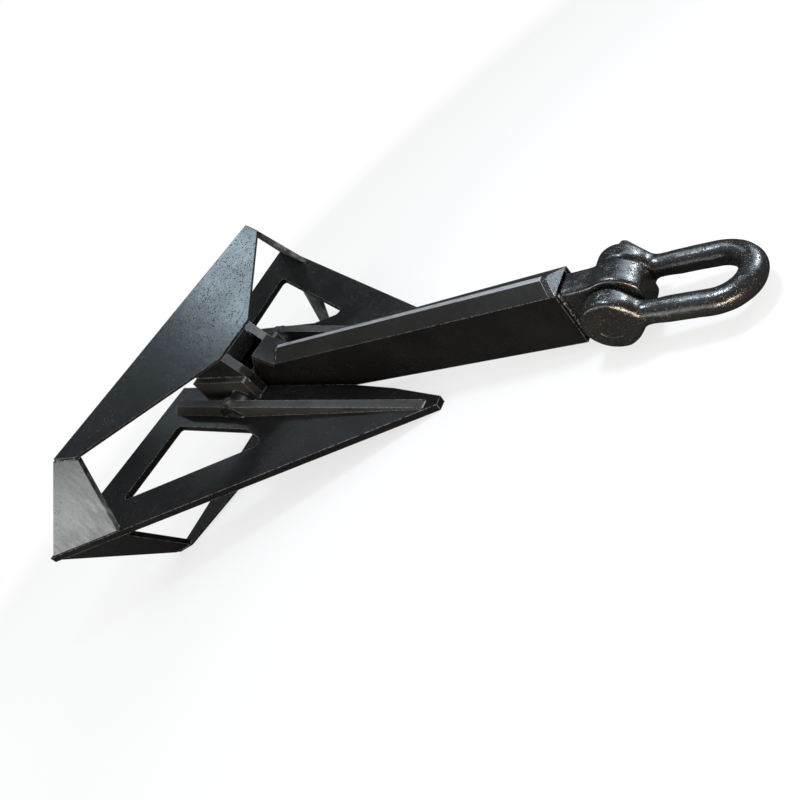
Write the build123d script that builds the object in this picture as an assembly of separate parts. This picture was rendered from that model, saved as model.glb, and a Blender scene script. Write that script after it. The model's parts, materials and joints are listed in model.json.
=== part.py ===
from build123d import *
import os
from math import atan2, cos, degrees, hypot, radians, sin, tan

# Hinged fluke anchor, double symmetric, welded from plate, with a forged head and end shackle.
# Drawing frame: origin at the centre of the crown hinge pin, +X along the flukes to their tips,
# +Y to port, +Z square to the flukes. At the end the whole anchor is turned and lifted so that
# it stands on a level floor at z = 0: on the lower palm's rear edge and on both fluke tips.
# The origin of the written parts is on that floor, in the middle of the anchor's length.

# ---- driving dimensions, mm ----
FLUKE_THICK = 50
FLUKE_REAR_X = -1000
FLUKE_REAR_INNER_X = -908
FLUKE_HALF_SPAN = 1650
SLOT_HALF = 121
SLOT_STRAIGHT_X = 964
SLOT_BEND_X = 1358
SLOT_BEND_Y = 158
TIP_X = 1724
TIP_INNER_Y = 219
TIP_OUTER_Y = 280
WINDOW_CORNER_R = 30
WINDOW = [(-634, 1152), (-596, 500), (229, 497), (418, 566), (440, 606), (412, 636)]

PALM_THICK = 20
PALM_SLOPE = 0.30
PALM_REAR_X = -617
PALM_REAR_HALF = 1198
PALM_REAR_Z = 612
PALM_END_X = -458
PALM_FRONT_X = 54
PALM_FRONT_HALF = 190
END_PLATE_THICK = 40
END_PLATE_FRONT_X = -435

CHEEK_INNER_Y = 122
CHEEK_THICK = 66
CHEEK_REAR_X = -450
CHEEK_FRONT_X = 155
CHEEK_SHOULDER_Z = 188
DOUBLER_THICK = 52
DOUBLER_HALF_HEIGHT = 214
DOUBLER_CORNER = 12
RIB_THICK = 60
RIB_OUTER_Y = 389
RIB_TIP_OUTER_Y = 312
RIB_HEIGHT = 124
RIB_TIP_HEIGHT = 36
RIB_REAR_X = -725
RIB_TIP_X = 1640
RIB_REAR_RAMP = 110
RIB_TIP_RAMP = 30
BOSS_R = 125
BOSS_OUTER_Y = 396
CROWN_WEB_X = -330
CROWN_WEB_THICK = 30

HINGE_PIN_R = 55
HINGE_PIN_HALF = 390
HINGE_PIN_CHAMFER = 4
RUNNING_GAP = 0.08
LOCK_BOLT_R = 18
LOCK_BOLT_Y = 345
LOCK_BOLT_BITE = 35
LOCK_HEAD_R = 32
LOCK_HEAD_HIGH = 24

SHANK_ANGLE = 8.9
SHANK_HALF = 100
SIDE_THICK = 30
SHANK_END_S = 2646
EAVE_HINGE_T = 165
EAVE_HEAD_T = 152
RIDGE_HINGE_T = 230
RIDGE_HEAD_T = 194
RIDGE_HALF = 13
RIDGE_START_S = 440
RIDGE_END_S = 2597
CAP_THICK = 28
STOP_FACE_ANGLE = 43.5
STOP_R = 412
STOP_FOOT_S = 425
STOP_THICK = 30
STOP_WEB_FOOT_R = 145
STOP_WEB_SHORT = 14
SLEEVE_R = 105
SLEEVE_HALF = 118
CAP_END_THICK = 20
CAP_END_REACH = 600
CAP_LAP = 5
DIAPHRAGM_AT = (620, 1060, 1500, 1940)
DIAPHRAGM_THICK = 20
DIAPHRAGM_SHORT = 10

STOP_BAR_ANGLE = 80.6
STOP_BAR_IN_R = 260
STOP_BAR_REAR_X = -20

EYE_S = 2855
EYE_R = 151
EYE_FRONT = 132
HEAD_HALF = 73
HEAD_THROAT_T = 138
TANG_START_S = 2330
TANG_HALF_T = 128
THROAT_RISE_BACK = 70
THROAT_RISE_DROP = 14
HEAD_EDGE_R = 14

SHACKLE_ANGLE = -3.0
SHACKLE_PIN_R = 60
EAR_R = 134
EAR_INNER_Y = 91
EAR_OUTER_Y = 198
EAR_EDGE_R = 22
BAR_R = 53
LEG_Y = 140
BOW_END_X = 528
PIN_HEAD_HALF = 88
PIN_HEAD_THICK = 28
PIN_HEAD_CORNER = 14
PIN_HEAD_TURN = 35
SPILE_R = 9
SPILE_Y = -150
SPILE_HALF = 112
PLUG_LONG = 20

BIG = 4000

# ---- values worked out from the driving dimensions ----
PALM_DROP = PALM_THICK * hypot(1, PALM_SLOPE)
FLUKE_EDGE_SLOPE = (TIP_OUTER_Y - FLUKE_HALF_SPAN) / (TIP_X - FLUKE_REAR_X)
FLUKE_HALF_THICK = FLUKE_THICK / 2


def palm_top(x):
    """Height of the palm's outer face above the mid-plane at x."""
    return PALM_REAR_Z - PALM_SLOPE * (x - PALM_REAR_X)


def palm_under(x):
    """Height of the palm's inner face above the mid-plane at x."""
    return palm_top(x) - PALM_DROP


def fluke_edge(x):
    """Distance of the fluke's outer edge from the centre line at x."""
    return FLUKE_HALF_SPAN + FLUKE_EDGE_SLOPE * (x - FLUKE_REAR_X)


def polar(radius, angle):
    """A point at a radius and an angle in degrees from the origin."""
    return (radius * cos(radians(angle)), radius * sin(radians(angle)))


def along(start, end, share):
    """The point at a share of the way from start to end."""
    return tuple(a + (b - a) * share for a, b in zip(start, end))


# ---- building helpers ----
def prism_xy(points, low, high):
    """A prism standing on the plan outline, from z = low to z = high."""
    outline = Plane.XY.offset(low) * make_face(Polyline(*points, close=True))
    return extrude(outline, amount=high - low, dir=(0, 0, 1))


def prism_xz(points, low, high):
    """A prism with the side outline (x, z), from y = low to y = high."""
    corners = [(x, low, z) for x, z in points]
    outline = make_face(Polyline(*corners, close=True))
    return extrude(outline, amount=high - low, dir=(0, 1, 0))


def bar_y(radius, low, high, x=0, z=0):
    """A round bar along Y, from y = low to y = high."""
    return Pos(x, (low + high) / 2, z) * Rot(90, 0, 0) * Cylinder(radius, high - low)


def group(shapes):
    """Separate solids that share one node."""
    whole = shapes[0]
    for shape in shapes[1:]:
        whole += shape
    return whole


def to_starboard(shape):
    return mirror(shape, about=Plane.XZ)


def to_lower(shape):
    return mirror(shape, about=Plane.XY)


# ---- fluke frame ----
def fluke_plate():
    """Port fluke: a plate with a long window, notched for the crown's cheek and boss."""
    outline = [
        (FLUKE_REAR_INNER_X, SLOT_HALF),
        (SLOT_STRAIGHT_X, SLOT_HALF),
        (SLOT_BEND_X, SLOT_BEND_Y),
        (TIP_X, TIP_INNER_Y),
        (TIP_X, TIP_OUTER_Y),
        (FLUKE_REAR_X, FLUKE_HALF_SPAN),
    ]
    plate = prism_xy(outline, -FLUKE_HALF_THICK, FLUKE_HALF_THICK)
    cut = prism_xy(WINDOW, -FLUKE_THICK, FLUKE_THICK)
    cut = fillet(cut.edges().filter_by(Axis.Z), WINDOW_CORNER_R)
    notch_y = CHEEK_INNER_Y + CHEEK_THICK + DOUBLER_THICK
    notch = [(CHEEK_REAR_X, 0), (CHEEK_FRONT_X, 0), (CHEEK_FRONT_X, notch_y), (CHEEK_REAR_X, notch_y)]
    plate -= cut
    plate -= prism_xy(notch, -FLUKE_THICK, FLUKE_THICK)
    plate -= bar_y(BOSS_R, notch_y, BOSS_OUTER_Y)
    return plate


def end_plane():
    """The end plate's foot corners, its rear top corner and its outer face's normal."""
    rear_foot = Vector(FLUKE_REAR_X, FLUKE_HALF_SPAN, 0)
    front_foot = Vector(END_PLATE_FRONT_X, fluke_edge(END_PLATE_FRONT_X), 0)
    rear_top = Vector(PALM_REAR_X, PALM_REAR_HALF, PALM_REAR_Z)
    normal = (front_foot - rear_foot).cross(rear_top - rear_foot).normalized()
    return rear_foot, front_foot, rear_top, normal


def end_plate():
    """Upper port end plate: leans inward from the fluke's outer edge up to the palm's end."""
    rear_foot, front_foot, rear_top, normal = end_plane()
    front_top = Vector(PALM_END_X, palm_end_half(), palm_top(PALM_END_X))
    outline = make_face(Polyline(rear_foot, front_foot, front_top, rear_top, close=True))
    inward = normal if normal.Y < 0 else -normal
    plate = extrude(outline, amount=END_PLATE_THICK, dir=inward)
    plate -= prism_xy(square(BIG), -BIG, FLUKE_HALF_THICK)
    return plate - palm_clearance()


def palm_end_half():
    """Half width of the palm at its inner end corner, kept in the end plate's plane."""
    rear_foot, _, _, normal = end_plane()
    run = PALM_END_X - rear_foot.X
    rise = palm_top(PALM_END_X)
    return rear_foot.Y - (normal.X * run + normal.Z * rise) / normal.Y


def square(half):
    return [(-half, -half), (half, -half), (half, half), (-half, half)]


def palm_clearance():
    """Everything above the palm's inner face, used to trim what is welded under it."""
    points = [(-BIG, palm_under(-BIG)), (BIG, palm_under(BIG)), (BIG, BIG), (-BIG, BIG)]
    return prism_xz(points, -BIG, BIG)


def palm():
    """Upper palm: a six-sided plate that falls towards the front, full width of the crown."""
    slab = [
        (-BIG, palm_under(-BIG)),
        (BIG, palm_under(BIG)),
        (BIG, palm_top(BIG)),
        (-BIG, palm_top(-BIG)),
    ]
    half = [
        (PALM_REAR_X, PALM_REAR_HALF),
        (PALM_END_X, palm_end_half()),
        (PALM_FRONT_X, PALM_FRONT_HALF),
    ]
    outline = half + [(x, -y) for x, y in reversed(half)]
    return prism_xy(outline, 0, BIG) & prism_xz(slab, -BIG, BIG)


def cheek():
    """Port cheek: one plate from palm to palm, which carries the hinge pin."""
    upper = [
        (CHEEK_REAR_X, palm_under(CHEEK_REAR_X)),
        (PALM_FRONT_X, palm_under(PALM_FRONT_X)),
        (CHEEK_FRONT_X, CHEEK_SHOULDER_Z),
    ]
    outline = upper + [(x, -z) for x, z in reversed(upper)]
    outer = CHEEK_INNER_Y + CHEEK_THICK
    plate = prism_xz(outline, CHEEK_INNER_Y, outer)
    return plate - bar_y(HINGE_PIN_R, 0, BIG)


def doubler():
    """Port hinge doubler, welded outside the cheek."""
    top = DOUBLER_HALF_HEIGHT
    upper = [
        (CHEEK_REAR_X, top - DOUBLER_CORNER),
        (CHEEK_REAR_X + DOUBLER_CORNER, top),
        (CHEEK_FRONT_X - DOUBLER_CORNER, top),
        (CHEEK_FRONT_X, top - DOUBLER_CORNER),
    ]
    outline = upper + [(x, -z) for x, z in reversed(upper)]
    low = CHEEK_INNER_Y + CHEEK_THICK
    plate = prism_xz(outline, low, low + DOUBLER_THICK)
    return plate - bar_y(HINGE_PIN_R, 0, BIG)


def pin_boss():
    """Port boss round the hinge pin's end, drilled from above for the lock bolt."""
    low = CHEEK_INNER_Y + CHEEK_THICK + DOUBLER_THICK
    boss = bar_y(BOSS_R, low, BOSS_OUTER_Y) - bar_y(HINGE_PIN_R, 0, BIG)
    flat = prism_xy(square(BIG), RIB_HEIGHT, BIG)
    return boss - flat - lock_hole()


def lock_hole():
    """Hole for the lock bolt, down to the hinge pin's axis."""
    return Pos(0, LOCK_BOLT_Y, BOSS_R) * Cylinder(LOCK_BOLT_R, 2 * BOSS_R)


def spine_rib():
    """Upper port rib from the fluke's rear to its tip, in two lengths either side of the boss."""
    plan = [
        (RIB_REAR_X, RIB_OUTER_Y - RIB_THICK),
        (BOSS_R, RIB_OUTER_Y - RIB_THICK),
        (RIB_TIP_X, RIB_TIP_OUTER_Y - RIB_THICK),
        (RIB_TIP_X, RIB_TIP_OUTER_Y),
        (BOSS_R, RIB_OUTER_Y),
        (RIB_REAR_X, RIB_OUTER_Y),
    ]
    side = [
        (RIB_REAR_X, FLUKE_HALF_THICK),
        (RIB_REAR_X + RIB_REAR_RAMP, RIB_HEIGHT),
        (BOSS_R, RIB_HEIGHT),
        (RIB_TIP_X - RIB_TIP_RAMP, RIB_TIP_HEIGHT),
        (RIB_TIP_X, FLUKE_HALF_THICK),
    ]
    rib = prism_xy(plan, 0, BIG) & prism_xz(side, 0, BIG)
    return rib - bar_y(BOSS_R, 0, BIG) - lock_hole()


def stop_bar():
    """Upper stop: a bar between the cheeks, whose front face the shank's stop meets."""
    low = polar(STOP_BAR_IN_R, STOP_BAR_ANGLE)
    front = PALM_FRONT_X
    outline = [
        low,
        (front, front * tan(radians(STOP_BAR_ANGLE))),
        (front, palm_under(front)),
        (STOP_BAR_REAR_X, palm_under(STOP_BAR_REAR_X)),
        (STOP_BAR_REAR_X, low[1]),
    ]
    return prism_xz(outline, -CHEEK_INNER_Y, CHEEK_INNER_Y)


def crown_web():
    """Cross plate between the cheeks, behind the shank's hinge end."""
    x = CROWN_WEB_X
    outline = [
        (x, palm_under(x)),
        (x + CROWN_WEB_THICK, palm_under(x + CROWN_WEB_THICK)),
        (x + CROWN_WEB_THICK, -palm_under(x + CROWN_WEB_THICK)),
        (x, -palm_under(x)),
    ]
    return prism_xz(outline, -CHEEK_INNER_Y, CHEEK_INNER_Y)


def hinge_pin():
    """Hinge pin, cross-drilled near both ends for the lock bolts."""
    pin = bar_y(HINGE_PIN_R, -HINGE_PIN_HALF, HINGE_PIN_HALF)
    pin = chamfer(pin.edges().filter_by(GeomType.CIRCLE), HINGE_PIN_CHAMFER)
    for side in (-1, 1):
        pin -= Pos(0, side * LOCK_BOLT_Y, HINGE_PIN_R) * Cylinder(LOCK_BOLT_R, 2 * LOCK_BOLT_BITE)
    return pin


def hexagon(radius):
    return [polar(radius, 60 * k) for k in range(6)]


def lock_bolt(y):
    """Hexagon bolt let down through the boss into the hinge pin."""
    seat = RIB_HEIGHT
    foot = HINGE_PIN_R - LOCK_BOLT_BITE
    stem = Pos(0, y, (seat + foot) / 2) * Cylinder(LOCK_BOLT_R, seat - foot)
    head = prism_xy(hexagon(LOCK_HEAD_R), seat, seat + LOCK_HEAD_HIGH)
    return stem + Pos(0, y, 0) * head


# ---- shank, drawn along +X from the hinge pin, upper half first ----
def eave(s):
    """Half depth of the side plates at a distance s from the hinge."""
    share = (s - STOP_FOOT_S) / (SHANK_END_S - STOP_FOOT_S)
    return EAVE_HINGE_T + (EAVE_HEAD_T - EAVE_HINGE_T) * share


def ridge(s):
    """Height of the cap's ridge above the shank's axis."""
    share = (s - STOP_FOOT_S) / (RIDGE_END_S - STOP_FOOT_S)
    return RIDGE_HINGE_T + (RIDGE_HEAD_T - RIDGE_HINGE_T) * share


def stop_points():
    """Outer and inner corners of the sloping stop plate, from its top edge to its foot."""
    top = polar(STOP_R, STOP_FACE_ANGLE)
    foot = (STOP_FOOT_S, EAVE_HINGE_T)
    length = hypot(foot[0] - top[0], foot[1] - top[1])
    out_x = (top[1] - foot[1]) / length * STOP_THICK
    out_z = (foot[0] - top[0]) / length * STOP_THICK
    return top, foot, (top[0] - out_x, top[1] - out_z), (foot[0] - out_x, foot[1] - out_z)


def side_plate():
    """Port side plate of the shank, rounded at the hinge, with horns that carry the stops."""
    _, foot, top_in, foot_in = stop_points()
    root = polar(EAVE_HINGE_T - 1, STOP_FACE_ANGLE)
    upper = [root, top_in, foot_in, foot, (SHANK_END_S, EAVE_HEAD_T)]
    outline = upper + [(x, -z) for x, z in reversed(upper)]
    low = SHANK_HALF - SIDE_THICK
    plate = prism_xz(outline, low, SHANK_HALF) + bar_y(EAVE_HINGE_T, low, SHANK_HALF)
    return plate - bar_y(SLEEVE_R, 0, BIG)


def cap_section(s, hollow):
    """Cross-section of the cap at s, as a folded plate or as the full roof shape."""
    low = eave(s)
    high = ridge(s)
    points = [(-SHANK_HALF, low), (-RIDGE_HALF, high), (RIDGE_HALF, high), (SHANK_HALF, low)]
    if hollow:
        inside = SHANK_HALF - SIDE_THICK - CAP_LAP
        points += [(inside, low), (0, high - CAP_THICK), (-inside, low)]
    corners = [(s, y, z) for y, z in points]
    return make_face(Polyline(*corners, close=True))


def cap_ends():
    """The closing plates' lines, each from its foot to the ridge, and which way it faces."""
    heel = ((STOP_FOOT_S, EAVE_HINGE_T), (RIDGE_START_S, ridge(RIDGE_START_S)), -1)
    head = ((SHANK_END_S, EAVE_HEAD_T), (RIDGE_END_S, ridge(RIDGE_END_S)), 1)
    return heel, head


def closing_slab(foot, top, facing):
    """Slab of the sloping plate that closes one end of the cap."""
    up = along(foot, top, 3)
    down = along(foot, top, -1)
    back = facing * CAP_END_THICK / sin(atan2(top[1] - foot[1], abs(foot[0] - top[0])))
    return prism_xz([up, down, (down[0] - back, down[1]), (up[0] - back, up[1])], -BIG, BIG)


def beyond_cap(foot, top, facing):
    """Everything outside the sloping plate that closes one end of the cap."""
    up = along(foot, top, 3)
    down = along(foot, top, -1)
    far = foot[0] + facing * CAP_END_REACH
    return prism_xz([up, down, (far, down[1]), (far, up[1])], -BIG, BIG)


def cap():
    """Upper cap: a plate folded along a narrow ridge, hipped at both ends."""
    ends = [cap_section(STOP_FOOT_S, True), cap_section(SHANK_END_S, True)]
    body = loft(ends, ruled=True)
    for end in cap_ends():
        body -= closing_slab(*end)
        body -= beyond_cap(*end)
    return body


def cap_closing(end):
    """Sloping plate that closes one end of the cap."""
    ends = [cap_section(STOP_FOOT_S, False), cap_section(SHANK_END_S, False)]
    return loft(ends, ruled=True) & closing_slab(*end)


def stop_plate():
    """Sloping plate across the horns at the shank's hinge end."""
    top, foot, top_in, foot_in = stop_points()
    return prism_xz([top, foot, foot_in, top_in], -SHANK_HALF, SHANK_HALF)


def stop_web():
    """Bearing plate between the side plates, whose rear face meets the crown's stop bar."""
    _, _, top_in, _ = stop_points()
    inner = polar(STOP_WEB_FOOT_R, STOP_FACE_ANGLE)
    outer = polar(hypot(*top_in) - STOP_WEB_SHORT, STOP_FACE_ANGLE)
    shift = polar(STOP_THICK, STOP_FACE_ANGLE - 90)
    front = [(point[0] + shift[0], point[1] + shift[1]) for point in (outer, inner)]
    outline = [inner, outer] + front
    half = SHANK_HALF - SIDE_THICK
    return prism_xz(outline, -half, half) & behind_stop_plate()


def behind_stop_plate():
    """Everything behind the sloping stop plate's inner face."""
    _, _, top_in, foot_in = stop_points()
    above = along(foot_in, top_in, 3)
    below = along(foot_in, top_in, -0.5)
    return prism_xz([above, below, (-BIG, below[1]), (-BIG, above[1])], -BIG, BIG)


def diaphragms():
    """Cross plates inside the box of the shank."""
    half = SHANK_HALF - SIDE_THICK
    plates = []
    for rear in DIAPHRAGM_AT:
        front = rear + DIAPHRAGM_THICK
        high = eave(rear) - DIAPHRAGM_SHORT
        outline = [(rear, -high), (front, -high), (front, high), (rear, high)]
        plates.append(prism_xz(outline, -half, half))
    return group(plates)


def hinge_sleeve():
    """Tube through the hinge end, which runs on the hinge pin."""
    tube = bar_y(SLEEVE_R, -SLEEVE_HALF, SLEEVE_HALF)
    return tube - bar_y(HINGE_PIN_R + RUNNING_GAP, -BIG, BIG)


def shank_head():
    """Forged head: a tang welded between the side plates, a throat and a round eye."""
    half = SHANK_HALF - SIDE_THICK
    ends = (TANG_START_S, SHANK_END_S)
    corners = [(s, -TANG_HALF_T) for s in ends] + [(s, TANG_HALF_T) for s in reversed(ends)]
    tang = prism_xz(corners, -half, half)
    rise = (EYE_S - THROAT_RISE_BACK, EYE_R - THROAT_RISE_DROP)
    upper = [(SHANK_END_S, HEAD_THROAT_T), rise, (EYE_S, EYE_R)]
    throat = prism_xz(upper + [(x, -z) for x, z in reversed(upper)], -HEAD_HALF, HEAD_HALF)
    eye = bar_y(EYE_R, -HEAD_HALF, HEAD_HALF, x=EYE_S)
    head = throat + eye
    flanks = [e for e in head.edges() if abs(abs(e.center().Y) - HEAD_HALF) < 0.1]
    head = fillet([e for e in flanks if e.center().X > SHANK_END_S + 1], HEAD_EDGE_R)
    front = EYE_S + EYE_FRONT
    nose = [(front, -BIG), (front + BIG, -BIG), (front + BIG, BIG), (front, BIG)]
    bore = bar_y(SHACKLE_PIN_R + RUNNING_GAP, -BIG, BIG, x=EYE_S)
    return tang + head - prism_xz(nose, -BIG, BIG) - bore


# ---- shackle, drawn from its pin along +X ----
def shackle_bow():
    """Bow: a round bar bent to a U, with a thick round ear on each leg."""
    centre = BOW_END_X - LEG_Y
    root = EAR_R / 3
    first = Line((root, -LEG_Y, 0), (centre, -LEG_Y, 0))
    turn = JernArc((centre, -LEG_Y, 0), (1, 0, 0), LEG_Y, 180)
    last = Line((centre, LEG_Y, 0), (root, LEG_Y, 0))
    section = Plane(origin=first @ 0, z_dir=(1, 0, 0)) * Circle(BAR_R)
    bow = sweep(section, path=Wire([first.edge(), turn.edge(), last.edge()]))
    for low, high in ((EAR_INNER_Y, EAR_OUTER_Y), (-EAR_OUTER_Y, -EAR_INNER_Y)):
        ear = bar_y(EAR_R, low, high)
        ear = fillet(ear.edges().filter_by(GeomType.CIRCLE), EAR_EDGE_R)
        bow += ear
    bow -= bar_y(SHACKLE_PIN_R, -BIG, BIG)
    return bow - spile_hole()


def spile_hole():
    return Pos(0, SPILE_Y, 0) * Cylinder(SPILE_R, 4 * EAR_R)


def shackle_pin():
    """Shackle pin, flush at starboard, with a square head at port."""
    pin = bar_y(SHACKLE_PIN_R, -EAR_OUTER_Y, EAR_OUTER_Y + PIN_HEAD_THICK)
    head = prism_xz(square(PIN_HEAD_HALF), EAR_OUTER_Y, EAR_OUTER_Y + PIN_HEAD_THICK)
    head = chamfer(head.edges().filter_by(Axis.Y), PIN_HEAD_CORNER)
    return pin + Rot(0, -PIN_HEAD_TURN, 0) * head - spile_hole()


def spile_pin():
    """Locking pin through the starboard ear and the shackle pin."""
    return Pos(0, SPILE_Y, 0) * Cylinder(SPILE_R, 2 * SPILE_HALF)


def lead_plugs():
    """Soft plugs that close both ends of the locking pin's hole."""
    far = SPILE_HALF + PLUG_LONG / 2
    plugs = [Pos(0, SPILE_Y, side * far) * Cylinder(SPILE_R, PLUG_LONG) for side in (-1, 1)]
    return group(plugs)


# ---- placing and writing ----
SHANK_POSE = Rot(0, -SHANK_ANGLE, 0)
SHACKLE_POSE = SHANK_POSE * Pos(EYE_S, 0, 0) * Rot(0, -SHACKLE_ANGLE, 0)
REST_TILT = degrees(atan2(PALM_REAR_Z - FLUKE_HALF_THICK, TIP_X - PALM_REAR_X))
FLOOR_LIFT = PALM_REAR_Z * cos(radians(REST_TILT)) + PALM_REAR_X * sin(radians(REST_TILT))
SHANK_RISE = radians(SHANK_ANGLE - REST_TILT)
BOW_RISE = radians(SHANK_ANGLE + SHACKLE_ANGLE - REST_TILT)
FRONT_X = EYE_S * cos(SHANK_RISE) + BOW_END_X * cos(BOW_RISE) + BAR_R
REAR_X = FLUKE_REAR_X * cos(radians(REST_TILT)) - FLUKE_HALF_THICK * sin(radians(REST_TILT))
FLOOR_POSE = Pos(-(FRONT_X + REAR_X) / 2, 0, FLOOR_LIFT) * Rot(0, REST_TILT, 0)


def save(name, shape, pose=None):
    placed = FLOOR_POSE * (pose * shape if pose else shape)
    export_step(placed, "parts/" + name + ".step")


def save_sides(name, shape, pose=None):
    save(name + "_port", shape, pose)
    save(name + "_starboard", to_starboard(shape), pose)


def save_levels(name, shape, pose=None):
    save(name + "_upper", shape, pose)
    save(name + "_lower", to_lower(shape), pose)


def save_quarters(name, shape):
    save_sides(name + "_upper", shape)
    save_sides(name + "_lower", to_lower(shape))


os.makedirs("parts", exist_ok=True)

save_sides("fluke_plate", fluke_plate())
save_quarters("end_plate", end_plate())
save_quarters("spine_rib", spine_rib())
save_levels("palm", palm())
save_sides("crown_cheek", cheek())
save_sides("hinge_doubler", doubler())
save_sides("pin_boss", pin_boss())
save_levels("stop_bar", stop_bar())
save("crown_web", crown_web())
save("hinge_pin", hinge_pin())
save("lock_bolts", group([lock_bolt(LOCK_BOLT_Y), lock_bolt(-LOCK_BOLT_Y)]))

save_sides("shank_side", side_plate(), SHANK_POSE)
save_levels("shank_cap", cap(), SHANK_POSE)
heel_end, head_end = cap_ends()
save_levels("cap_heel_plate", cap_closing(heel_end), SHANK_POSE)
save_levels("cap_end_plate", cap_closing(head_end), SHANK_POSE)
save_levels("stop_plate", stop_plate(), SHANK_POSE)
save_levels("stop_web", stop_web(), SHANK_POSE)
save("shank_diaphragms", diaphragms(), SHANK_POSE)
save("hinge_sleeve", hinge_sleeve(), SHANK_POSE)
save("shank_head", shank_head(), SHANK_POSE)

save("shackle_bow", shackle_bow(), SHACKLE_POSE)
save("shackle_pin", shackle_pin(), SHACKLE_POSE)
save("spile_pin", spile_pin(), SHACKLE_POSE)
save("lead_plugs", lead_plugs(), SHACKLE_POSE)
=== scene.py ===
import json
import math
import random

import bmesh
import bpy
import numpy as np
from mathutils import Matrix, Vector, noise
from mathutils.bvhtree import BVHTree


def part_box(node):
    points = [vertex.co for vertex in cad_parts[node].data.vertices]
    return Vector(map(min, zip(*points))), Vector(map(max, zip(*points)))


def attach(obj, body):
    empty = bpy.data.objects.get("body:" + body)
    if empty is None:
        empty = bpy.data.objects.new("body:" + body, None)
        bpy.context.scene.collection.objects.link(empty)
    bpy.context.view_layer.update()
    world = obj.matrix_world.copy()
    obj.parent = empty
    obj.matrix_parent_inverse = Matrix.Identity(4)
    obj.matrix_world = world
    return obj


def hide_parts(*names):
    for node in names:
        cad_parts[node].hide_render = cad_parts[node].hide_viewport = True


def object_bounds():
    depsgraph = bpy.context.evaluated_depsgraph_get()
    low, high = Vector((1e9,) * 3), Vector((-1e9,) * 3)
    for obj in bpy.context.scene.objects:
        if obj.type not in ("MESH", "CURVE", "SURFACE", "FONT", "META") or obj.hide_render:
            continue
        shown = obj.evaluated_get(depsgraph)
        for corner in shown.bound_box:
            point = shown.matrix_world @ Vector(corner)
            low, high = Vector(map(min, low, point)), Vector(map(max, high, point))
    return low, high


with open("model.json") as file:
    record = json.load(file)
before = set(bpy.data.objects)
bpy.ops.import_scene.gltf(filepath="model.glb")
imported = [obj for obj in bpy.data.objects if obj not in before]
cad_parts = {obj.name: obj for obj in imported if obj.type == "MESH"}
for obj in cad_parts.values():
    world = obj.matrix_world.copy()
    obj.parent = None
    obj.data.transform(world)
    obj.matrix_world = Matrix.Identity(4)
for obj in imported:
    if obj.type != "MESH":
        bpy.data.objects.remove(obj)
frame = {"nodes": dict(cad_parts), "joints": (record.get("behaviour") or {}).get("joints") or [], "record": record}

# Looks for the hinged fluke anchor: black paint on plate, forged head and shackle, weld beads,
# a pale floor and soft studio light. Everything is in metres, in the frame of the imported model.

cad_low, cad_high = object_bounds()

NODES = frame["nodes"]
RECORD = frame["record"]
JOINTS = {joint["name"]: joint for joint in frame["joints"]}
SLOT_OF = {part["node"]: part["material_slot"] for part in RECORD["subparts"]}
BODY_OF = {node: body for body, nodes in RECORD["behaviour"]["bodies"].items() for node in nodes}

# ---- places taken from the frame ----
PIN_AT = Vector(JOINTS["shackle_swing"]["pos_m"])
BOW_AT = Vector(next(m for m in RECORD["mounts"] if m["name"] == "chain_bow")["pos_m"])
SHACKLE_X = (BOW_AT - PIN_AT).normalized()
SHACKLE_Y = Vector((0, 1, 0))
SHACKLE_Z = SHACKLE_X.cross(SHACKLE_Y)
HINGE_AT = Vector(JOINTS["crown_hinge"]["pos_m"])
SHANK_X = (PIN_AT - HINGE_AT).normalized()
SHANK_UP = SHANK_X.cross(Vector((0, 1, 0)))
CENTRE = (cad_low + cad_high) / 2

# ---- sizes of the visual detail, metres ----
EDGE_SOFTENING = 0.0035
FORGED_VOXEL = 0.0045
MERGE = 1e-5
BORE_SKIN = (0.066, 0.085)

# ---- weld beads: shape, metres ----
BEAD = {"fillet": (0.0085, 0.15), "seam": (0.0075, -0.55)}
BEAD_SIDES = 8
RING_STEP = 0.005
RIPPLE = 0.012
DRIFT = 0.0012
SHORTEST_BEAD = 0.025

# ---- weld beads: where plates count as meeting, metres ----
SHARP_EDGE = math.radians(25)
SAMPLE_STEP = 0.012
END_INSET = 0.001
PROBE = 0.004
TOUCHING = 0.0008
CLOSE = 0.001
BEAD_MIDDLE = 0.006
OPPOSED = -0.9
JOIN_GAP = 0.004
JOIN_TURN = math.radians(35)


# ================= weld beads =================
class Solid:
    """A CAD node's mesh with its doubled vertices joined, for finding where plates meet."""

    def __init__(self, name):
        mesh = bmesh.new()
        mesh.from_mesh(NODES[name].data)
        bmesh.ops.remove_doubles(mesh, verts=mesh.verts, dist=MERGE)
        self.tree = BVHTree.FromBMesh(mesh)
        self.low, self.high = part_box(name)
        self.edges = []
        for edge in mesh.edges:
            if len(edge.link_faces) != 2 or edge.calc_face_angle(0) < SHARP_EDGE:
                continue
            first, second = (face.normal.copy() for face in edge.link_faces)
            ends = [vertex.co.copy() for vertex in edge.verts]
            self.edges.append((ends[0], ends[1], first, second))
        mesh.free()

    def near(self, point, reach):
        """The surface point's normal if the surface is within reach of the point."""
        place, normal, _, distance = self.tree.find_nearest(point)
        return normal if place is not None and distance < reach else None

    def holds(self, point):
        """Whether a point lies inside the solid, clear of its skin."""
        place, normal, _, distance = self.tree.find_nearest(point)
        return (point - place).dot(normal) < 0 and distance > 0.0005


def boxes_touch(a, b, slack=0.002):
    return all(a.low[i] - slack < b.high[i] and b.low[i] - slack < a.high[i] for i in range(3))


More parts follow.
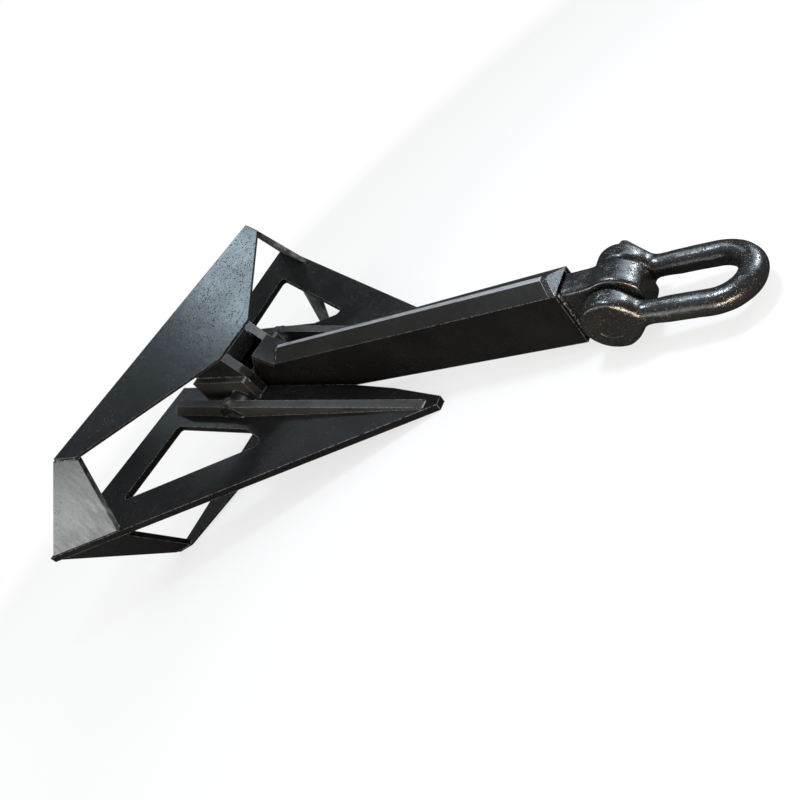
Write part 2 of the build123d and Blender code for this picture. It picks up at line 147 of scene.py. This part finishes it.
def corner_at(point, touching, free, other):
    """The bead at a point of an edge, as (outward direction, kind), or None where no weld is."""
    if other.near(point, TOUCHING) is None:
        return None
    beyond = other.near(point + free * PROBE, CLOSE)
    if beyond is not None and beyond.dot(touching) < OPPOSED:
        return (free + beyond).normalized(), "fillet"
    below = other.near(point + touching * PROBE, CLOSE)
    if below is not None and abs(below.dot(touching)) < 0.6 and below.dot(free) > 0.1:
        on_face = other.near(point - free * PROBE, CLOSE)
        if on_face is not None and on_face.dot(touching) < OPPOSED:
            return (free + below).normalized(), "seam"
    return None


def edge_points(start, end):
    """Even points along an edge, the outer ones just inside its ends."""
    length = (end - start).length
    steps = max(2, round(length / SAMPLE_STEP))
    inset = min(END_INSET, length * 0.1) / length
    return [start.lerp(end, min(max(k / steps, inset), 1 - inset)) for k in range(steps + 1)]


def unbroken(corners):
    """Runs of one kind from a list of (point, corner), where a corner may be None."""
    runs = []
    run, kind_of_run = [], None
    for point, corner in corners + [(None, None)]:
        if corner and kind_of_run in (None, corner[1]):
            run.append((point, corner[0]))
            kind_of_run = corner[1]
            continue
        if len(run) > 1:
            runs.append((kind_of_run, run))
        run, kind_of_run = [], None
    return runs


def weld_runs(a, b, others):
    """Runs of (point, outward direction) along the edges of solid a that are welded to solid b."""
    runs = []
    for start, end, first, second in a.edges:
        points = edge_points(start, end)
        for touching, free in ((first, second), (second, first)):
            corners = []
            for point in points:
                corner = corner_at(point, touching, free, b)
                if corner and any(o.holds(point + corner[0] * BEAD_MIDDLE) for o in others):
                    corner = None
                corners.append((point, corner))
            runs += unbroken(corners)
    return runs


def joined(one, two):
    """Two runs as one where their ends meet, or None."""
    for head, tail in ((one, two), (one, two[::-1]), (one[::-1], two)):
        gap = (head[-1][0] - tail[0][0]).length
        turn = (head[-1][0] - head[-2][0]).angle(tail[1][0] - tail[0][0], 0)
        if gap < JOIN_GAP and turn < JOIN_TURN:
            return head + tail
    return None


def join_once(runs):
    """Joins the first two runs that meet, in place. False if none do."""
    for i, (kind, one) in enumerate(runs):
        for j, (other_kind, two) in enumerate(runs):
            both = joined(one, two) if i != j and kind == other_kind else None
            if both:
                runs[i] = (kind, both)
                runs.pop(j)
                return True
    return False


def join_runs(runs):
    """Joins runs whose ends meet, so that a bead goes round a curve in one piece."""
    while join_once(runs):
        pass
    return runs


def resample(run):
    """The run at even steps of RING_STEP."""
    out = []
    for (p, d), (q, e) in zip(run, run[1:]):
        steps = max(1, round((q - p).length / RING_STEP))
        for k in range(steps):
            out.append((p.lerp(q, k / steps), d.lerp(e, k / steps).normalized()))
    out.append(run[-1])
    return out


def bead_ring(mesh, centre, side, up, size):
    ring = []
    for n in range(BEAD_SIDES):
        turn = 2 * math.pi * n / BEAD_SIDES
        offset = (side * math.cos(turn) + up * math.sin(turn)) * size
        ring.append(mesh.verts.new(centre + offset))
    return ring


def add_bead(mesh, run, kind, dice):
    """A rippled bead of weld along the run, in one closed tube."""
    points = resample(run)
    radius, sink = BEAD[kind]
    seed = dice.uniform(0, 100)
    rings = []
    travelled = 0.0
    for k, (point, outward) in enumerate(points):
        before = points[max(k - 1, 0)][0]
        after = points[min(k + 1, len(points) - 1)][0]
        travelled += (point - before).length
        tangent = (after - before).normalized()
        side = tangent.cross(outward).normalized()
        up = side.cross(tangent)
        phase = (travelled % RIPPLE) / RIPPLE
        wander = noise.noise(Vector((travelled * 30, seed, 0)))
        size = radius * (0.9 + 0.16 * phase + 0.16 * wander)
        if k in (0, len(points) - 1):
            size *= 0.5
        drift = DRIFT * noise.noise(Vector((travelled * 22, seed, 7)))
        centre = point + up * radius * sink + side * drift
        rings.append(bead_ring(mesh, centre, side, up, size))
    for ring, following in zip(rings, rings[1:]):
        for n in range(BEAD_SIDES):
            m = (n + 1) % BEAD_SIDES
            mesh.faces.new((ring[n], ring[m], following[m], following[n]))
    mesh.faces.new(rings[0][::-1])
    mesh.faces.new(rings[-1])


def weld_piece(name, body, pairs, solids):
    """One piece that holds every bead of a group of welded pairs."""
    dice = random.Random(name)
    mesh = bmesh.new()
    names = sorted({node for pair in pairs for node in pair})
    for a, b in pairs:
        others = [solids[n] for n in names if n not in (a, b)]
        runs = []
        for one, two in ((a, b), (b, a)):
            near = [o for o in others if boxes_touch(o, solids[one], 0.01)]
            runs += weld_runs(solids[one], solids[two], near)
        for kind, run in join_runs(runs):
            length = sum((q[0] - p[0]).length for p, q in zip(run, run[1:]))
            if length > SHORTEST_BEAD:
                add_bead(mesh, run, kind, dice)
    data = bpy.data.meshes.new(name)
    bmesh.ops.recalc_face_normals(mesh, faces=mesh.faces)
    mesh.to_mesh(data)
    mesh.free()
    piece = bpy.data.objects.new(name, data)
    bpy.context.scene.collection.objects.link(piece)
    data.shade_smooth()
    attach(piece, body)
    return piece


def touching_pairs(nodes, solids):
    """Pairs of nodes whose boxes touch."""
    pairs = []
    for i, a in enumerate(nodes):
        for b in nodes[i + 1:]:
            if boxes_touch(solids[a], solids[b]):
                pairs.append((a, b))
    return pairs


NOT_WELDED = ("hinge_pin", "lock_bolts", "hinge_sleeve", "shank_diaphragms")


def weld_group(pair, body):
    """Which piece the beads between two nodes belong to."""
    if body == "shank":
        return "welds_shank"
    if any("end_plate" in node for node in pair):
        return "welds_end_plates"
    if any("spine" in node for node in pair):
        return "welds_ribs"
    return "welds_crown"


def make_welds():
    """Weld beads on the flukes and palms, on the crown, and on the shank."""
    plates = sorted(n for n in NODES if BODY_OF[n] != "shackle" and n not in NOT_WELDED)
    solids = {n: Solid(n) for n in plates}
    pieces = []
    for body in ("fluke_frame", "shank"):
        groups = {}
        for pair in touching_pairs([n for n in plates if BODY_OF[n] == body], solids):
            groups.setdefault(weld_group(pair, body), []).append(pair)
        for key in sorted(groups):
            pieces.append(weld_piece(key, body, groups[key], solids))
    return pieces


# ================= forged pieces =================
def copy_remeshed(node, name, voxel):
    """A new object from a CAD node's shape, in small even faces."""
    piece = bpy.data.objects.new(name, NODES[node].data.copy())
    bpy.context.scene.collection.objects.link(piece)
    join = piece.modifiers.new("join", "WELD")
    join.merge_threshold = MERGE
    remesh = piece.modifiers.new("remesh", "REMESH")
    remesh.mode = "VOXEL"
    remesh.voxel_size = voxel
    graph = bpy.context.evaluated_depsgraph_get()
    data = bpy.data.meshes.new_from_object(piece.evaluated_get(graph))
    piece.modifiers.clear()
    piece.data = data
    data.materials.clear()
    return piece


def mesh_points(data):
    """A mesh's points as rows of an array."""
    points = np.zeros(len(data.vertices) * 3)
    data.vertices.foreach_get("co", points)
    return points.reshape(-1, 3)


def relax(data, weights, rounds):
    """Evens a mesh out, more where the weight of a vertex is high."""
    points = mesh_points(data)
    ends = np.zeros(len(data.edges) * 2, dtype=np.int64)
    data.edges.foreach_get("vertices", ends)
    ends = ends.reshape(-1, 2)
    count = np.bincount(ends.ravel(), minlength=len(points))[:, None]
    for _ in range(rounds):
        total = np.zeros_like(points)
        for axis in range(3):
            total[:, axis] += np.bincount(ends[:, 0], points[ends[:, 1], axis], len(points))
            total[:, axis] += np.bincount(ends[:, 1], points[ends[:, 0], axis], len(points))
        points += (total / count - points) * weights[:, None]
    data.vertices.foreach_set("co", points.ravel())
    data.update()


def smoothstep(low, high, values):
    share = np.clip((values - low) / (high - low), 0, 1)
    return share * share * (3 - 2 * share)


def hammer(data, weights, depth, scale):
    """Shallow dents and swells of a forged skin, along the normals."""
    points = mesh_points(data)
    normals = np.zeros(len(data.vertices) * 3)
    data.vertices.foreach_get("normal", normals)
    normals = normals.reshape(-1, 3)
    for k, point in enumerate(points):
        place = Vector(point) * scale
        swell = noise.noise(place) + 0.5 * noise.noise(place * 2.3)
        point += normals[k] * swell * depth * weights[k]
    data.vertices.foreach_set("co", points.ravel())
    data.update()


def local(points, origin, axes):
    """Points in a frame of its own, given by its origin and axes."""
    return np.stack([(points - np.array(origin)) @ np.array(axis) for axis in axes], axis=1)


def finish_forging(piece, node, body):
    piece.data.shade_smooth()
    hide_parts(node)
    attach(piece, body)
    return piece


def make_bow():
    """The shackle's bow with its legs flowing into the ears, as forged."""
    piece = copy_remeshed("shackle_bow", "shackle_bow_forged", FORGED_VOXEL)
    data = piece.data
    place = local(mesh_points(data), PIN_AT, (SHACKLE_X, SHACKLE_Y, SHACKLE_Z))
    off_bore = smoothstep(*BORE_SKIN, np.hypot(place[:, 0], place[:, 2]))
    neck = smoothstep(0.03, 0.10, place[:, 0]) * (1 - smoothstep(0.17, 0.24, place[:, 0]))
    relax(data, off_bore * neck * 0.5, 110)
    relax(data, off_bore * 0.5, 6)
    hammer(data, off_bore, 0.0011, 14)
    return finish_forging(piece, "shackle_bow", "shackle")


def make_head():
    """The shank's forged head, with a slightly uneven skin outside the shank's box."""
    piece = copy_remeshed("shank_head", "shank_head_forged", FORGED_VOXEL)
    data = piece.data
    place = local(mesh_points(data), PIN_AT, (SHANK_X, Vector((0, 1, 0)), SHANK_UP))
    off_bore = smoothstep(*BORE_SKIN, np.hypot(place[:, 0], place[:, 2]))
    outside = smoothstep(-0.2, -0.17, place[:, 0])
    relax(data, off_bore * 0.5, 8)
    throat = 1 - smoothstep(-0.14, 0.0, place[:, 0])
    relax(data, off_bore * outside * throat * 0.5, 40)
    hammer(data, off_bore * outside, 0.0014, 16)
    return finish_forging(piece, "shank_head", "shank")


# ================= CAD nodes =================
def has_hole(data):
    """Whether a mesh is pierced right through anywhere."""
    mesh = bmesh.new()
    mesh.from_mesh(data)
    bmesh.ops.remove_doubles(mesh, verts=mesh.verts, dist=MERGE)
    shells = 0
    unseen = set(mesh.verts)
    while unseen:
        shells += 1
        front = [unseen.pop()]
        while front:
            vertex = front.pop()
            for edge in vertex.link_edges:
                other = edge.other_vert(vertex)
                if other in unseen:
                    unseen.remove(other)
                    front.append(other)
    count = len(mesh.verts) - len(mesh.edges) + len(mesh.faces)
    mesh.free()
    return count != 2 * shells


def soften(node, width):
    """Rounds a CAD node's edges a little, with modifiers only; pierced plates keep sawn edges."""
    piece = NODES[node]
    if has_hole(piece.data):
        return
    piece.data.shade_smooth()
    join = piece.modifiers.new("join", "WELD")
    join.merge_threshold = MERGE
    flat = piece.modifiers.new("flat", "DECIMATE")
    flat.decimate_type = "DISSOLVE"
    flat.angle_limit = math.radians(1)
    bevel = piece.modifiers.new("bevel", "BEVEL")
    bevel.width = width
    bevel.segments = 2
    bevel.limit_method = "ANGLE"
    bevel.angle_limit = math.radians(28)
    even = piece.modifiers.new("even", "WEIGHTED_NORMAL")
    even.weight = 100


# ================= materials =================
class Nodes:
    """Builds a node tree a step at a time."""

    def __init__(self, tree):
        self.tree = tree

    def add(self, kind, inputs=None, **settings):
        node = self.tree.nodes.new(kind)
        for key, value in settings.items():
            setattr(node, key, value)
        for key, value in (inputs or {}).items():
            self.feed(node.inputs[key], value)
        return node

    def feed(self, socket, value):
        if isinstance(value, bpy.types.NodeSocket):
            self.tree.links.new(value, socket)
        else:
            socket.default_value = value

    def ramp(self, value, low, high, out_low=0.0, out_high=1.0):
        inputs = {
            "Value": value,
            "From Min": low,
            "From Max": high,
            "To Min": out_low,
            "To Max": out_high,
        }
        node = self.add("ShaderNodeMapRange", inputs, interpolation_type="SMOOTHSTEP")
        return node.outputs["Result"]

    def sum(self, a, b, operation="ADD", clamp=False):
        node = self.add("ShaderNodeMath", operation=operation, use_clamp=clamp)
        self.feed(node.inputs[0], a)
        self.feed(node.inputs[1], b)
        return node.outputs[0]

    def times(self, a, b):
        return self.sum(a, b, "MULTIPLY")

    def blend(self, share, a, b):
        node = self.add("ShaderNodeMix", data_type="RGBA")
        self.feed(node.inputs[0], share)
        self.feed(node.inputs[6], a)
        self.feed(node.inputs[7], b)
        return node.outputs[2]

    def facing(self, vector, direction):
        """How far a vector points in a direction, -1 to 1."""
        node = self.add("ShaderNodeVectorMath", operation="DOT_PRODUCT")
        self.feed(node.inputs[0], vector)
        self.feed(node.inputs[1], direction)
        return node.outputs["Value"]


class Paint(Nodes):
    """Builds one node material a step at a time."""

    def __init__(self, name):
        self.material = bpy.data.materials.new(name)
        self.material.use_nodes = True
        super().__init__(self.material.node_tree)
        self.shader = self.tree.nodes["Principled BSDF"]
        self.place = self.add("ShaderNodeTexCoord").outputs["Object"]
        self.normal = self.add("ShaderNodeNewGeometry").outputs["Normal"]

    def stretched(self, scale):
        inputs = {"Vector": self.place, "Scale": scale}
        return self.add("ShaderNodeMapping", inputs).outputs["Vector"]

    def noise(self, scale, detail=3, rough=0.55, warp=0.0, place=None):
        inputs = {
            "Vector": place or self.place,
            "Scale": scale,
            "Detail": detail,
            "Roughness": rough,
            "Distortion": warp,
        }
        return self.add("ShaderNodeTexNoise", inputs).outputs["Fac"]

    def cells(self, scale):
        inputs = {"Vector": self.place, "Scale": scale}
        return self.add("ShaderNodeTexVoronoi", inputs).outputs["Distance"]

    def toward(self, direction):
        """How far the surface faces a direction, -1 to 1."""
        return self.facing(self.normal, tuple(direction))

    def edge(self, radius):
        """Nearly 0 on flat faces, higher on sharp outer and inner edges."""
        rounded = self.add("ShaderNodeBevel", {"Radius": radius}, samples=4).outputs["Normal"]
        return self.ramp(self.facing(self.normal, rounded), 0.99, 0.86)

    def bumps(self, *heights):
        """Bump from (height, distance in metres) layers, coarse to fine."""
        normal = None
        for height, distance in heights:
            inputs = {"Height": height, "Distance": distance, "Strength": 1.0}
            if normal is not None:
                inputs["Normal"] = normal
            normal = self.add("ShaderNodeBump", inputs).outputs["Normal"]
        self.feed(self.shader.inputs["Normal"], normal)

    def finish(self, colour, roughness, metallic):
        self.feed(self.shader.inputs["Base Color"], colour)
        self.feed(self.shader.inputs["Roughness"], roughness)
        self.feed(self.shader.inputs["Metallic"], metallic)
        return self.material


def grey(value, warmth=0.0):
    return (value * (1 + warmth), value, value * (1 - warmth), 1)


DUST = (0.145, 0.15, 0.155, 1)
# Bright bare metal of worn edges, which also serves as a painted highlight along sharp edges.
BARE_AND_EDGE_HIGHLIGHT = (0.42, 0.41, 0.40, 1)
DRY = (0.09, 0.088, 0.085, 1)
# Ridge colour: a painted highlight along with thin, worn paint on the cap's ridge.
RIDGE_HIGHLIGHT_AND_WEAR = (0.46, 0.47, 0.49, 1)
FORGED_GLOSS = 0.20
FORGED_WARMTH = 0.04
FORGED_IOR = 1.85


def dust_cover(p, clouds, patches, extra):
    """How much dust lies where, 0 to 1."""
    cover = p.ramp(p.sum(p.times(clouds, 0.6), p.times(patches, 0.4)), 0.42, 0.66)
    if "streak" in extra:
        brushed = p.noise(26, 4, 0.7, 0.3, p.stretched(extra["streak"]))
        cover = p.sum(p.times(cover, 0.45), p.times(p.ramp(brushed, 0.38, 0.66), 0.6))
    if "settle" in extra:
        height = p.add("ShaderNodeSeparateXYZ", {0: p.place}).outputs["Z"]
        cover = p.times(cover, p.ramp(height, *extra["settle"], 0.22, 1.0))
        cover = p.times(cover, p.ramp(p.noise(9, 5, 0.7, 0.5), 0.38, 0.56, 0.55, 1.0))
    upward = p.ramp(p.toward((0, 0, 1)), 0.1, 0.9, 0.5, 1.0)
    return p.times(cover, upward)


def plate_paint(name, base=(0.004, 0.008), gloss=0.24, dust=0.1, speckle=0.5, edge_wear_and_highlight=0.5, **extra):
    """Glossy black paint on rolled plate: dry spots, pits, a little dust, and worn edges that also carry a painted
    edge highlight.

    extra: warmth of the black, pale (the dust's colour), streak (brush direction),
    settle (heights between which dust grows thicker)."""
    warmth = extra.get("warmth", 0.0)
    p = Paint(name)
    clouds = p.noise(2.6, 3, 0.5)
    patches = p.noise(17, 4, 0.65, 0.4)
    grain = p.noise(170, 3, 0.6)
    fine = p.noise(420, 2, 0.5)
    spots = p.times(p.ramp(p.cells(46), 0.34, 0.14), p.ramp(patches, 0.44, 0.60))
    pits = p.times(p.ramp(p.cells(115), 0.28, 0.10), p.ramp(clouds, 0.40, 0.6))
    dusty = p.times(dust_cover(p, clouds, patches, extra), dust)
    # Edge mark: worn bare edges plus a painted highlight, a bright metal colour along sharp edges that stands in
    # for the light the edges catch.
    edge = p.times(p.edge(0.008), p.ramp(p.noise(60, 3, 0.7), 0.40, 0.58))
    edge = p.times(edge, edge_wear_and_highlight)
    paint = p.blend(clouds, grey(base[0], warmth), grey(base[1], warmth))
    colour = p.blend(dusty, paint, extra.get("pale", DUST))
    colour = p.blend(p.times(spots, 0.05 * speckle), colour, DRY)
    colour = p.blend(edge, colour, BARE_AND_EDGE_HIGHLIGHT)
    even = p.ramp(clouds, 0.3, 0.7, gloss - 0.03, gloss + 0.05)
    rough = p.sum(even, p.times(p.sum(grain, -0.5), 0.10))
    rough = p.sum(rough, p.times(spots, 0.10 * speckle))
    rough = p.sum(rough, p.times(pits, 0.08 * speckle))
    rough = p.sum(rough, p.times(dusty, 0.3))
    rough = p.sum(rough, p.times(edge, 0.2), clamp=True)
    p.bumps(
        (clouds, 0.0025),
        (patches, 0.0006),
        (p.sum(spots, pits), 0.0006 * speckle),
        (grain, 0.00035),
        (fine, 0.00012),
    )
    return p.finish(colour, rough, p.times(edge, 0.6))


def cap_paint(name, ridge):
    """The shank's cap: black facets and a rough bright ridge, painted lighter on faces turned towards the ridge
    direction: a painted highlight along with thin, worn paint.
    """
    p = Paint(name)
    clouds = p.noise(3.0, 3, 0.5)
    patches = p.noise(22, 4, 0.65, 0.3)
    grain = p.noise(190, 3, 0.6)
    along = p.noise(30, 4, 0.7, 0.2, p.stretched((0.2, 1, 1)))
    # Faces turned towards the ridge direction get the bright ridge colour: a painted highlight along with worn
    # paint, broken up by noise along the ridge.
    top = p.ramp(p.toward(ridge), 0.90, 0.985)
    bright = p.times(top, p.ramp(along, 0.30, 0.55, 0.45, 1.0))
    paint = p.blend(clouds, grey(0.008, 0.08), grey(0.016, 0.08))
    colour = p.blend(p.ramp(patches, 0.5, 0.75, 0, 0.3), paint, (0.035, 0.032, 0.030, 1))
    colour = p.blend(bright, colour, RIDGE_HIGHLIGHT_AND_WEAR)
    rough = p.sum(p.ramp(clouds, 0.3, 0.7, 0.3, 0.42), p.times(p.sum(grain, -0.5), 0.15))
    rough = p.sum(rough, p.times(top, 0.1), clamp=True)
    p.bumps((clouds, 0.003), (patches, 0.0008), (p.times(along, top), 0.0012), (grain, 0.0004))
    return p.finish(colour, rough, p.times(bright, 0.6))


def forged_paint(name):
    """Black paint over a hot-forged skin: pitted, uneven, glossy on the high spots."""
    p = Paint(name)
    clouds = p.noise(7, 4, 0.6, 0.4)
    lumps = p.noise(42, 4, 0.6, 0.2)
    grain = p.noise(150, 4, 0.65)
    fine = p.noise(380, 2, 0.6)
    pits = p.times(p.ramp(p.cells(95), 0.30, 0.10), p.ramp(lumps, 0.44, 0.6))
    scale = p.ramp(p.noise(70, 5, 0.75, 0.5), 0.55, 0.68)
    paint = p.blend(clouds, grey(0.006, FORGED_WARMTH), grey(0.014, FORGED_WARMTH))
    colour = p.blend(p.times(scale, 0.12), paint, DRY)
    even = p.ramp(clouds, 0.3, 0.7, FORGED_GLOSS - 0.03, FORGED_GLOSS + 0.06)
    rough = p.sum(even, p.times(pits, 0.2))
    rough = p.sum(rough, p.times(scale, 0.12))
    rough = p.sum(rough, p.times(p.sum(grain, -0.5), 0.12), clamp=True)
    p.bumps((lumps, 0.0011), (pits, -0.0008), (scale, 0.0005), (grain, 0.0005), (fine, 0.0002))
    p.feed(p.shader.inputs["IOR"], FORGED_IOR)
    return p.finish(colour, rough, p.times(scale, 0.08))


def weld_paint(name, bare):
    """Paint on weld beads: glossy, with a share of bright bare flecks."""
    p = Paint(name)
    flecks = p.ramp(p.noise(85, 4, 0.75), 0.52, 0.60)
    grain = p.noise(260, 3, 0.6)
    colour = p.blend(p.times(flecks, bare), grey(0.014), (0.50, 0.49, 0.48, 1))
    rough = p.sum(0.28, p.times(p.sum(grain, -0.5), 0.3), clamp=True)
    p.bumps((flecks, 0.0006), (grain, 0.0005))
    return p.finish(colour, rough, p.times(flecks, 0.5 * bare))


def bare_steel(name):
    """Dull machined steel with a thin film of grease and rust bloom."""
    p = Paint(name)
    turned = p.noise(60, 3, 0.6, 0.0, p.stretched((1, 12, 1)))
    bloom = p.ramp(p.noise(24, 5, 0.7, 0.6), 0.50, 0.70)
    grain = p.noise(300, 2, 0.5)
    colour = p.blend(bloom, (0.20, 0.195, 0.19, 1), (0.085, 0.062, 0.048, 1))
    rough = p.sum(p.ramp(turned, 0.3, 0.7, 0.3, 0.5), p.times(bloom, 0.25), clamp=True)
    p.bumps((turned, 0.0004), (bloom, 0.0003), (grain, 0.0002))
    return p.finish(colour, rough, p.sum(0.85, p.times(bloom, -0.6)))


def assign(piece, material):
    piece.data.materials.clear()
    piece.data.materials.append(material)


def plate_paints():
    """Materials of the plates, by the start of a node's name; the first match counts."""
    streaked = {"streak": (1, 1, 0.25)}
    dusty = plate_paint(
        "paint_end_plate",
        gloss=0.34,
        dust=0.9,
        speckle=0.8,
        pale=(0.54, 0.57, 0.56, 1),
        settle=(1.12, 0.74),
        **streaked,
    )
    brushed = plate_paint(
        "paint_brushed",
        gloss=0.4,
        dust=0.5,
        pale=(0.44, 0.46, 0.46, 1),
        **streaked,
    )
    fluke = plate_paint("paint_fluke", gloss=0.16, dust=0.03, speckle=1.0, edge_wear_and_highlight=1.0)
    edges = plate_paint("paint_ribs", (0.018, 0.032), 0.36, dust=0.2, warmth=0.12, edge_wear_and_highlight=1.0)
    shank = plate_paint("paint_shank", (0.003, 0.006), dust=0.02, speckle=0.3, warmth=0.08)
    return {
        "palm": plate_paint("paint_palm", gloss=0.15, dust=0.03, speckle=1.3),
        "end_plate_upper": dusty,
        "end_plate_lower_port": brushed,
        "end_plate_lower_starboard": fluke,
        "fluke_plate": fluke,
        "spine_rib": edges,
        "hinge_doubler": edges,
        "shank_side": shank,
        "shank_cap_upper": cap_paint("paint_cap_upper", SHANK_UP),
        "shank_cap_lower": cap_paint("paint_cap_lower", -SHANK_UP),
    }


def paint_all(welds, bow, head):
    """Gives every piece its material."""
    plain = plate_paint("paint_plate", gloss=0.28)
    forged = forged_paint("paint_forging")
    by_start = plate_paints() | {"cap_end_plate": forged, "lead_plugs": forged}
    by_slot = {"black_forging": forged, "bare_steel": bare_steel("bare_steel")}
    for node, piece in NODES.items():
        found = [m for start, m in by_start.items() if node.startswith(start)]
        assign(piece, found[0] if found else by_slot.get(SLOT_OF[node], plain))
    bright = weld_paint("paint_weld", 0.9)
    dull = weld_paint("paint_weld_ribs", 0.15)
    for piece in welds:
        assign(piece, dull if "ribs" in piece.name else bright)
    assign(bow, forged)
    assign(head, forged)


# ================= studio =================
PALE = (1.0, 1.0, 1.0, 1)
FLOOR_GLOW = 0.72
FLOOR_RADIUS = 60.0
FLOOR_FADE = (3.6, 7.5)
FLOOR_COLOUR = (0.88, 0.88, 0.88, 1)
MIRRORED_FLOOR = (0.045, 0.040, 0.036, 1)
MIRRORED_GLOW = (0.06, 0.06, 0.06, 1)


def make_floor():
    """A plain pale floor, which fades into the background colour far from the anchor."""
    mesh = bmesh.new()
    bmesh.ops.create_circle(mesh, cap_ends=True, radius=FLOOR_RADIUS, segments=96)
    data = bpy.data.meshes.new("floor")
    mesh.to_mesh(data)
    mesh.free()
    floor = bpy.data.objects.new("floor", data)
    floor.location = (CENTRE.x, CENTRE.y, 0)
    bpy.context.scene.collection.objects.link(floor)
    p = Paint("floor")
    out = p.tree.nodes["Material Output"]
    distance = p.add("ShaderNodeVectorMath", operation="LENGTH")
    p.feed(distance.inputs[0], p.place)
    fade = p.ramp(distance.outputs["Value"], *FLOOR_FADE)
    rays = p.add("ShaderNodeLightPath")
    p.feed(p.shader.inputs["Roughness"], 0.9)
    p.feed(p.shader.inputs["Specular IOR Level"], 0.1)
    seen = rays.outputs["Is Glossy Ray"]
    lifted = p.times(rays.outputs["Is Camera Ray"], FLOOR_GLOW)
    share = p.sum(fade, lifted, "MAXIMUM")
    p.feed(p.shader.inputs["Base Color"], p.blend(seen, FLOOR_COLOUR, MIRRORED_FLOOR))
    glow = p.add("ShaderNodeEmission")
    p.feed(glow.inputs["Color"], p.blend(seen, PALE, MIRRORED_GLOW))
    mix = p.add("ShaderNodeMixShader")
    p.feed(mix.inputs[0], share)
    p.feed(mix.inputs[1], p.shader.outputs[0])
    p.feed(mix.inputs[2], glow.outputs[0])
    p.feed(out.inputs["Surface"], mix.outputs[0])
    assign(floor, p.material)


def aim(azimuth, elevation):
    """A unit vector at an azimuth (from +X) and elevation in degrees."""
    turn, tilt = math.radians(azimuth), math.radians(elevation)
    level = math.cos(tilt)
    return Vector((math.cos(turn) * level, math.sin(turn) * level, math.sin(tilt)))


ROOM_LOW = (0.075, 0.078, 0.082, 1)
ROOM_HIGH = (0.24, 0.29, 0.32, 1)
ROOM_EDGE = (50, 60)
FLOOR_LIGHT = (0.80, 0.81, 0.82, 1)
GLOWS = (
    # azimuth, elevation, inner and outer angle, radiance
    (120, 55, 3, 15, (0.55, 0.68, 0.75, 1)),
    (118, 55, 0.5, 6.5, (7.0, 8.8, 10.0, 1)),
    (145, 47, 1.2, 3.4, (1.0, 1.2, 1.35, 1)),
    (155, 41, 1.5, 4, (1.0, 1.2, 1.3, 1)),
    (60, 26, 6, 24, (3.0, 3.5, 4.0, 1)),
    (-110, 6, 4, 30, (1.6, 1.7, 1.7, 1)),
)


def make_world():
    """Pale to the camera and to the floor; to the glossy paint it is a dim room with windows."""
    world = bpy.data.worlds.new("studio")
    bpy.context.scene.world = world
    world.use_nodes = True
    world.cycles.sampling_method = "NONE"
    world.node_tree.nodes.clear()
    n = Nodes(world.node_tree)
    out = n.add("ShaderNodeOutputWorld")
    rays = n.add("ShaderNodeLightPath")
    view = n.add("ShaderNodeTexCoord").outputs["Generated"]
    split = n.add("ShaderNodeSeparateXYZ", {0: view})
    edge = [math.sin(math.radians(angle)) for angle in ROOM_EDGE]
    room = n.blend(n.ramp(split.outputs["Z"], *edge), ROOM_LOW, ROOM_HIGH)
    for azimuth, elevation, inner, outer, radiance in GLOWS:
        near = n.facing(view, aim(azimuth, elevation))
        share = n.ramp(near, math.cos(math.radians(outer)), math.cos(math.radians(inner)))
        room = n.blend(share, room, radiance)
    room = n.blend(rays.outputs["Is Diffuse Ray"], room, FLOOR_LIGHT)
    room = n.blend(rays.outputs["Is Camera Ray"], room, PALE)
    back = n.add("ShaderNodeBackground", {"Color": room})
    n.feed(out.inputs["Surface"], back.outputs[0])


def softbox(name, target, direction, distance, size, radiance, colour):
    """A soft rectangular light of a given radiance, seen from the target in a direction."""
    data = bpy.data.lights.new(name, "AREA")
    data.shape = "RECTANGLE"
    data.size, data.size_y = size
    data.energy = radiance * math.pi * size[0] * size[1]
    data.color = colour
    light = bpy.data.objects.new(name, data)
    light.location = Vector(target) + direction * distance
    light.rotation_mode = "QUATERNION"
    light.rotation_quaternion = direction.to_track_quat("Z", "Y")
    light.visible_camera = False
    bpy.context.scene.collection.objects.link(light)


EYE_TOP = Vector((0.11, 0, 0.08))


def make_lights():
    """Each softbox stands where a piece of the anchor mirrors it to the camera."""
    end_low, end_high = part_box("end_plate_upper_starboard")
    end = (end_low + end_high) / 2
    softbox("low_window", end, aim(-109, 6), 5.0, (3.0, 1.0), 8.0, (0.95, 1.0, 0.98))
    softbox("eye_light", PIN_AT + EYE_TOP, aim(51, 20), 3.5, (0.30, 0.5), 70.0, (0.86, 0.95, 1.0))
    softbox("overhead", PIN_AT, aim(60, 78), 4.0, (0.8, 0.8), 50.0, (0.82, 0.91, 1.0))
    softbox("warm_bounce", PIN_AT, aim(-62, 3), 3.5, (2.6, 0.35), 36.0, (1.0, 0.82, 0.60))


LENS = 29.01
SHIFT = (0.0046, -0.0876)
CAMERA_RIGHT = Vector((0.627, 0.393, -0.673))
CAMERA_BACK = Vector((0.743, -0.560, 0.366))
CAMERA_FROM_HINGE = Vector((4.2753, -2.0563, 1.3167))


def make_camera():
    """Off the shackle's starboard side at eye height, looking down at the crown."""
    data = bpy.data.cameras.new("camera")
    data.sensor_width = 36
    data.lens = LENS
    data.shift_x, data.shift_y = SHIFT
    camera = bpy.data.objects.new("camera", data)
    right = CAMERA_RIGHT.normalized()
    back = (CAMERA_BACK - right * CAMERA_BACK.dot(right)).normalized()
    up = back.cross(right)
    turn = Matrix((right, up, back)).transposed().to_4x4()
    stand = HINGE_AT + CAMERA_FROM_HINGE
    camera.matrix_world = Matrix.Translation(stand) @ turn
    bpy.context.scene.collection.objects.link(camera)
    bpy.context.scene.camera = camera


# ================= build =================
for node in NODES:
    soften(node, EDGE_SOFTENING)
welds = make_welds()
bow = make_bow()
head = make_head()
paint_all(welds, bow, head)
make_floor()
make_world()
make_lights()
make_camera()
bpy.context.scene.view_settings.view_transform = "Standard"
